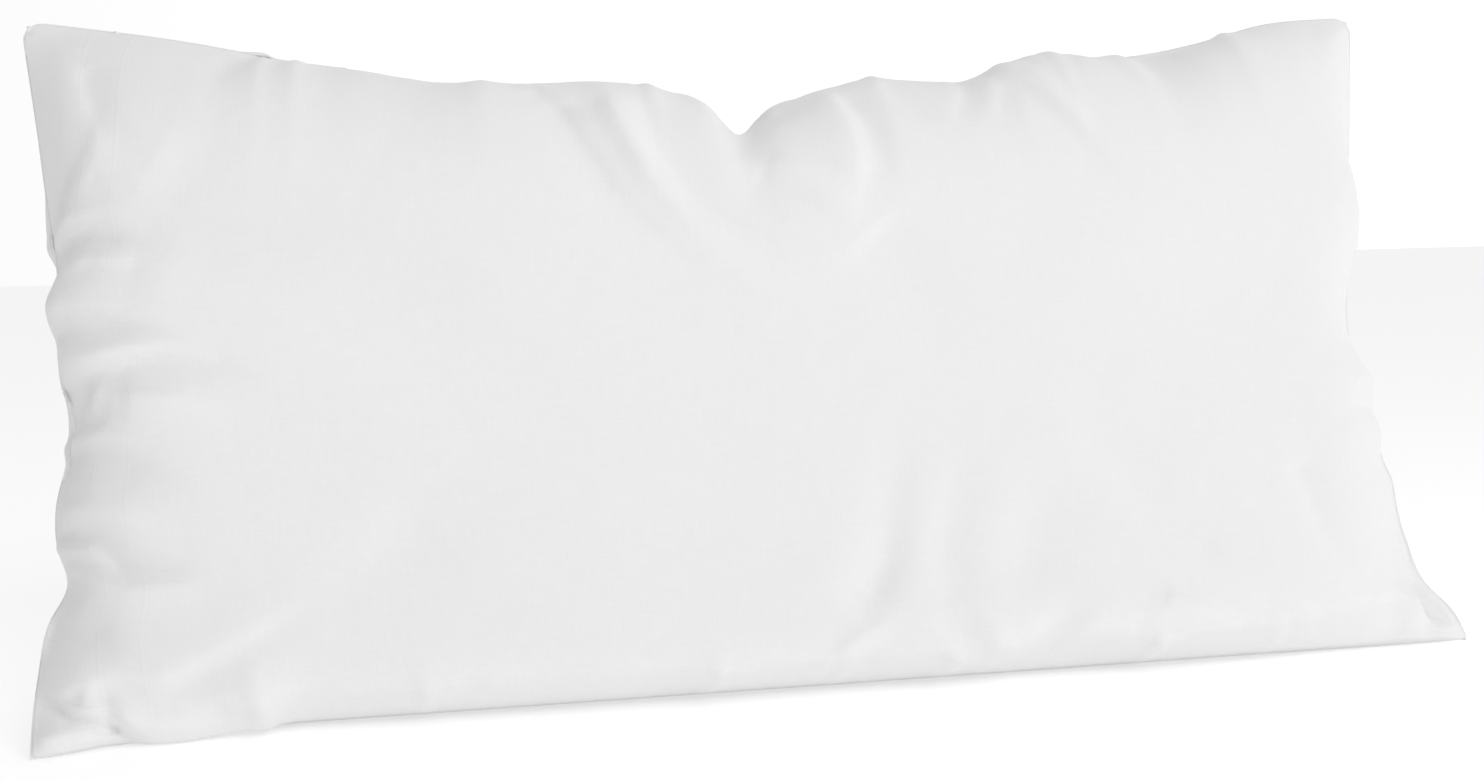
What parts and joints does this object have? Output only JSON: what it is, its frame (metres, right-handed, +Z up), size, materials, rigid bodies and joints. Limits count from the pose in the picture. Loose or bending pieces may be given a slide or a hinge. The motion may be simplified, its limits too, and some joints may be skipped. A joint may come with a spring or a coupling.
{
  "type": "bed pillow",
  "caption": "White cotton bed pillow, long and rectangular, standing on a long edge and leaning back, with a zip in the back of its cover and a layered filling.",
  "frame": {"origin": "on the floor, in the middle of the length and of the depth", "axes": "+X along the long edge, +Z up, front facing -Y, leaning back towards +Y"},
  "size_m": [0.78, 0.1626, 0.3722],
  "materials": {
    "cover_cotton": "plain weave, matt",
    "zip_tape": "woven tape",
    "zip_coil": "nylon coil",
    "zip_metal": "nickel plated",
    "sewing_thread": "spun thread",
    "label_satin": "satin ribbon",
    "ticking_cotton": "dense twill",
    "chamber_cloth": "thin plain weave",
    "down": "loose down",
    "feathers": "loose feathers"
  },
  "bodies": {
    "pillow": {"cover_front": "cover_cotton", "cover_back": "cover_cotton", "cover_end_strip": "cover_cotton", "zip_end_seams": "cover_cotton", "seam_top": "cover_cotton", "seam_bottom": "cover_cotton", "seam_left": "cover_cotton", "seam_right": "cover_cotton", "zip_tape_main": "zip_tape", "zip_tape_end": "zip_tape", "zip_coil_main": "zip_coil", "zip_coil_end": "zip_coil", "zip_top_stops": "zip_metal", "zip_bottom_stop": "zip_metal", "zip_stitching": "sewing_thread", "zip_bar_tacks": "sewing_thread", "care_label_root": "label_satin", "ticking_front": "ticking_cotton", "ticking_back": "ticking_cotton", "ticking_edge_seam": "ticking_cotton", "insert_label": "label_satin", "chamber_wall_front": "chamber_cloth", "chamber_wall_back": "chamber_cloth", "down_front": "down", "feather_core": "feathers", "down_back": "down"},
    "slider": {"zip_slider": "zip_metal"},
    "puller": {"zip_puller": "zip_metal"},
    "label": {"care_label": "label_satin"}
  },
  "joints": [
    {"name": "zip_slide", "type": "slide", "parent": "pillow", "child": "slider", "axis": [0, -0.2588, -0.9659], "range_m": [0, 0.275]},
    {"name": "puller_hinge", "type": "hinge", "parent": "slider", "child": "puller", "pos_m": [-0.34, 0.05674, 0.30235], "axis": [1, 0, 0], "range_deg": [-12, 150]},
    {"name": "label_fold", "type": "hinge", "parent": "pillow", "child": "label", "pos_m": [-0.23488, 0.05337, 0.348], "axis": [0.9924, -0.0317, -0.1185], "range_deg": [0, 130]}
  ]
}
